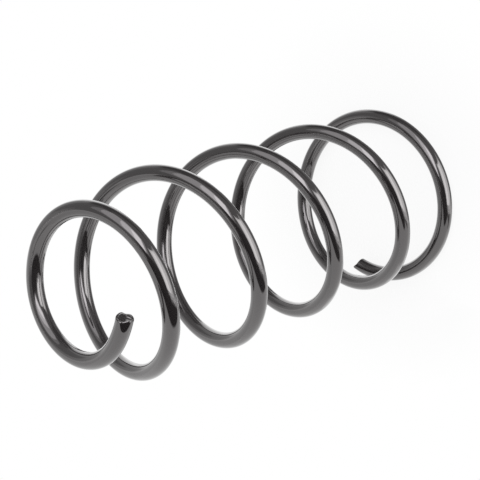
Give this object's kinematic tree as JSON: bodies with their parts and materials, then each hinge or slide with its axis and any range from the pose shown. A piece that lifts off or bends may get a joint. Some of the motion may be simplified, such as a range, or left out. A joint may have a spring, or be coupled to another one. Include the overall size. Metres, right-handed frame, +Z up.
{
  "type": "helical compression spring",
  "caption": "Helical compression spring of round steel wire, glossy black, with a reduced coil at its upper end and a flat closed coil at its lower end, standing on the flat end.",
  "frame": {"origin": "on the surface that the spring stands on, under the middle of its box", "axes": "+Z up along the coil's axis from the large end to the small end, +X to the right and +Y to the back"},
  "size_m": [0.1488, 0.1544, 0.3509],
  "materials": {
    "black_coating": "glossy black powder coating on hot-wound spring steel"
  },
  "bodies": {
    "root": {"coil_spring": "black_coating"}
  },
  "joints": []
}
